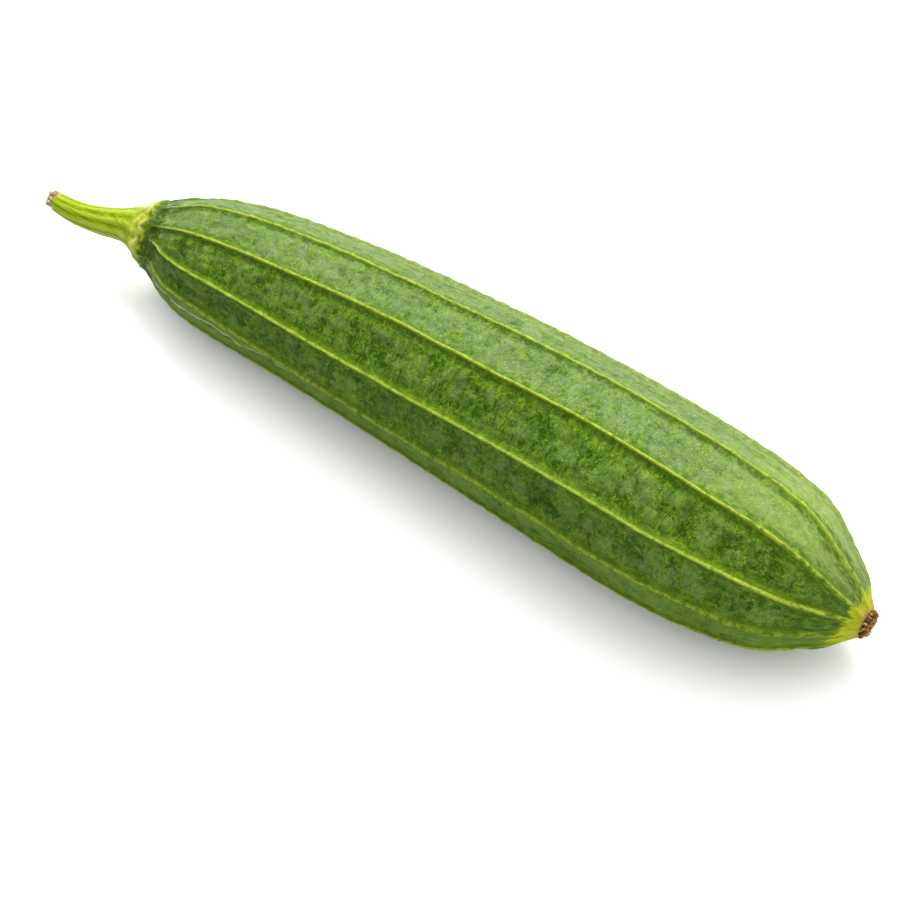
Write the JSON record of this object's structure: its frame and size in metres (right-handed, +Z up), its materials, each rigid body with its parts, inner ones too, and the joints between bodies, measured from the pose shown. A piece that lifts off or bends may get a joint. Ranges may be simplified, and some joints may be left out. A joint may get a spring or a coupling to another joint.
{
  "type": "ridge gourd",
  "caption": "Whole ridge gourd lying on its side: a long club-shaped green fruit with sharp lengthwise ridges, a cut grooved stalk and a dry flower scar.",
  "frame": {"origin": "under the middle of the whole gourd, on the flat surface that it lies on", "axes": "+X along the gourd from the stalk towards the flower's scar, +Z up, +Y across"},
  "size_m": [0.3282, 0.0648, 0.0609],
  "materials": {
    "green_skin": "waxy, lumpy green skin with pale ridge crests",
    "stalk": "fresh, smooth, grooved lengthwise",
    "dry_cork": "dry, granular and matte"
  },
  "bodies": {
    "root": {"fruit": "green_skin", "stem": "stalk", "blossom_scar": "dry_cork"}
  },
  "joints": []
}
